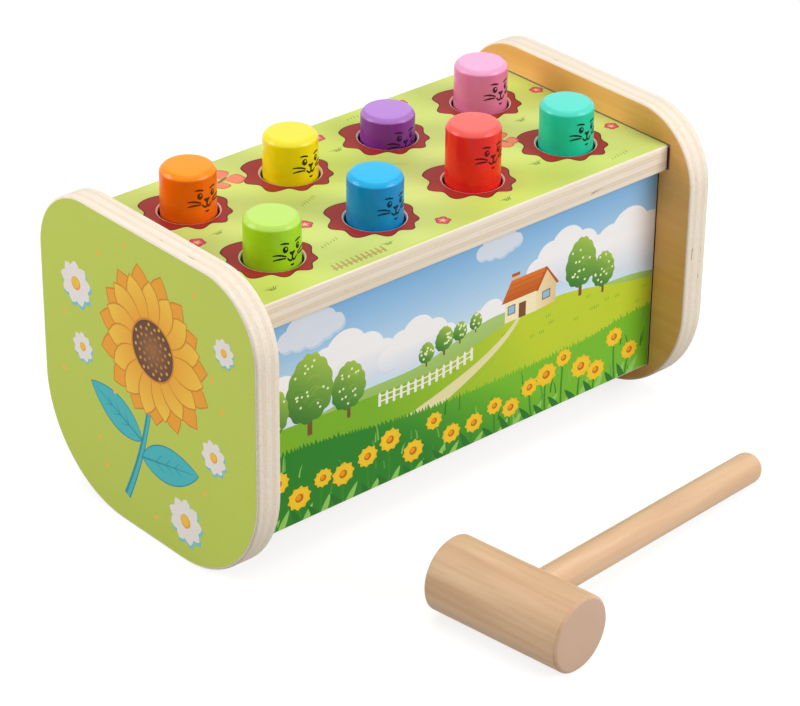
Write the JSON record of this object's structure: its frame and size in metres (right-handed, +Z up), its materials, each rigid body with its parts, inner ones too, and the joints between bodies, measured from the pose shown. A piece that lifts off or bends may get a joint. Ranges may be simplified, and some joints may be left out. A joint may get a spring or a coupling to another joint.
{
  "type": "peg pounding bench",
  "caption": "Plywood pounding bench whose coloured pegs stand in crosswise pairs on see-saw rockers, so striking one lifts its partner, with a wooden mallet.",
  "frame": {"origin": "on the floor under the middle of the bench", "axes": "+X along the bench from the printed end to the far end, +Y to the back row of pegs, +Z up"},
  "size_m": [0.255, 0.2615, 0.1572],
  "materials": {
    "printed_end": "satin printed face on plywood",
    "printed_top": "satin printed face on plywood",
    "printed_side": "satin printed face on thin board",
    "bare_ply": "bare sanded plywood",
    "inner_wood": "bare sanded wood",
    "beech": "bare sanded beech",
    "steel": "zinc plated",
    "orange_lacquer": "gloss lacquer on turned wood",
    "lime_lacquer": "gloss lacquer on turned wood",
    "yellow_lacquer": "gloss lacquer on turned wood",
    "blue_lacquer": "gloss lacquer on turned wood",
    "violet_lacquer": "gloss lacquer on turned wood",
    "red_lacquer": "gloss lacquer on turned wood",
    "pink_lacquer": "gloss lacquer on turned wood",
    "teal_lacquer": "gloss lacquer on turned wood"
  },
  "bodies": {
    "bench": {"near_end_panel": "printed_end", "far_end_panel": "bare_ply", "top_board": "printed_top", "front_panel": "printed_side", "back_panel": "printed_side", "bottom_board": "bare_ply", "guide_board": "bare_ply", "corner_posts": "inner_wood", "rocker_axle": "steel", "axle_spacers": "inner_wood", "top_dowels": "inner_wood", "bottom_screws": "steel"},
    "rocker_1": {"rocker_1": "inner_wood"},
    "peg_orange": {"orange_peg": "orange_lacquer", "orange_peg_base": "inner_wood", "orange_peg_screw": "steel"},
    "peg_lime": {"lime_peg": "lime_lacquer", "lime_peg_base": "inner_wood", "lime_peg_screw": "steel"},
    "rocker_2": {"rocker_2": "inner_wood"},
    "peg_yellow": {"yellow_peg": "yellow_lacquer", "yellow_peg_base": "inner_wood", "yellow_peg_screw": "steel"},
    "peg_blue": {"blue_peg": "blue_lacquer", "blue_peg_base": "inner_wood", "blue_peg_screw": "steel"},
    "rocker_3": {"rocker_3": "inner_wood"},
    "peg_violet": {"violet_peg": "violet_lacquer", "violet_peg_base": "inner_wood", "violet_peg_screw": "steel"},
    "peg_red": {"red_peg": "red_lacquer", "red_peg_base": "inner_wood", "red_peg_screw": "steel"},
    "rocker_4": {"rocker_4": "inner_wood"},
    "peg_pink": {"pink_peg": "pink_lacquer", "pink_peg_base": "inner_wood", "pink_peg_screw": "steel"},
    "peg_teal": {"teal_peg": "teal_lacquer", "teal_peg_base": "inner_wood", "teal_peg_screw": "steel"},
    "mallet": {"mallet_head": "beech", "mallet_handle": "beech"}
  },
  "joints": [
    {"name": "rocker_1_tilt", "type": "hinge", "parent": "bench", "child": "rocker_1", "pos_m": [-0.0825, 0, 0.0622], "axis": [1, 0, 0], "range_deg": [-22.99, 19.65]},
    {"name": "orange_peg_slide", "type": "slide", "parent": "bench", "child": "peg_orange", "axis": [0, 0, 1], "range_m": [-0.01079, 0.00922]},
    {"name": "lime_peg_slide", "type": "slide", "parent": "bench", "child": "peg_lime", "axis": [0, 0, 1], "range_m": [-0.00922, 0.01079]},
    {"name": "rocker_2_tilt", "type": "hinge", "parent": "bench", "child": "rocker_2", "pos_m": [-0.0275, 0, 0.0622], "axis": [1, 0, 0], "range_deg": [-19.65, 22.99]},
    {"name": "yellow_peg_slide", "type": "slide", "parent": "bench", "child": "peg_yellow", "axis": [0, 0, 1], "range_m": [-0.00922, 0.01079]},
    {"name": "blue_peg_slide", "type": "slide", "parent": "bench", "child": "peg_blue", "axis": [0, 0, 1], "range_m": [-0.01079, 0.00922]},
    {"name": "rocker_3_tilt", "type": "hinge", "parent": "bench", "child": "rocker_3", "pos_m": [0.0275, 0, 0.0622], "axis": [1, 0, 0], "range_deg": [-7.22, 35.42]},
    {"name": "violet_peg_slide", "type": "slide", "parent": "bench", "child": "peg_violet", "axis": [0, 0, 1], "range_m": [-0.00339, 0.01662]},
    {"name": "red_peg_slide", "type": "slide", "parent": "bench", "child": "peg_red", "axis": [0, 0, 1], "range_m": [-0.01662, 0.00339]},
    {"name": "rocker_4_tilt", "type": "hinge", "parent": "bench", "child": "rocker_4", "pos_m": [0.0825, 0, 0.0622], "axis": [1, 0, 0], "range_deg": [-21.32, 21.32]},
    {"name": "pink_peg_slide", "type": "slide", "parent": "bench", "child": "peg_pink", "axis": [0, 0, 1], "range_m": [-0.01, 0.01]},
    {"name": "teal_peg_slide", "type": "slide", "parent": "bench", "child": "peg_teal", "axis": [0, 0, 1], "range_m": [-0.01, 0.01]},
    {"name": "mallet_lift", "type": "slide", "parent": "bench", "child": "mallet", "axis": [0, 0, 1], "range_m": [0, 0.25]}
  ],
  "couplings": [
    {"joint": "orange_peg_slide", "follows": "rocker_1_tilt", "m_per_rad": 0.02687},
    {"joint": "lime_peg_slide", "follows": "rocker_1_tilt", "m_per_rad": -0.02687},
    {"joint": "yellow_peg_slide", "follows": "rocker_2_tilt", "m_per_rad": 0.02687},
    {"joint": "blue_peg_slide", "follows": "rocker_2_tilt", "m_per_rad": -0.02687},
    {"joint": "violet_peg_slide", "follows": "rocker_3_tilt", "m_per_rad": 0.02687},
    {"joint": "red_peg_slide", "follows": "rocker_3_tilt", "m_per_rad": -0.02687},
    {"joint": "pink_peg_slide", "follows": "rocker_4_tilt", "m_per_rad": 0.02687},
    {"joint": "teal_peg_slide", "follows": "rocker_4_tilt", "m_per_rad": -0.02687}
  ]
}
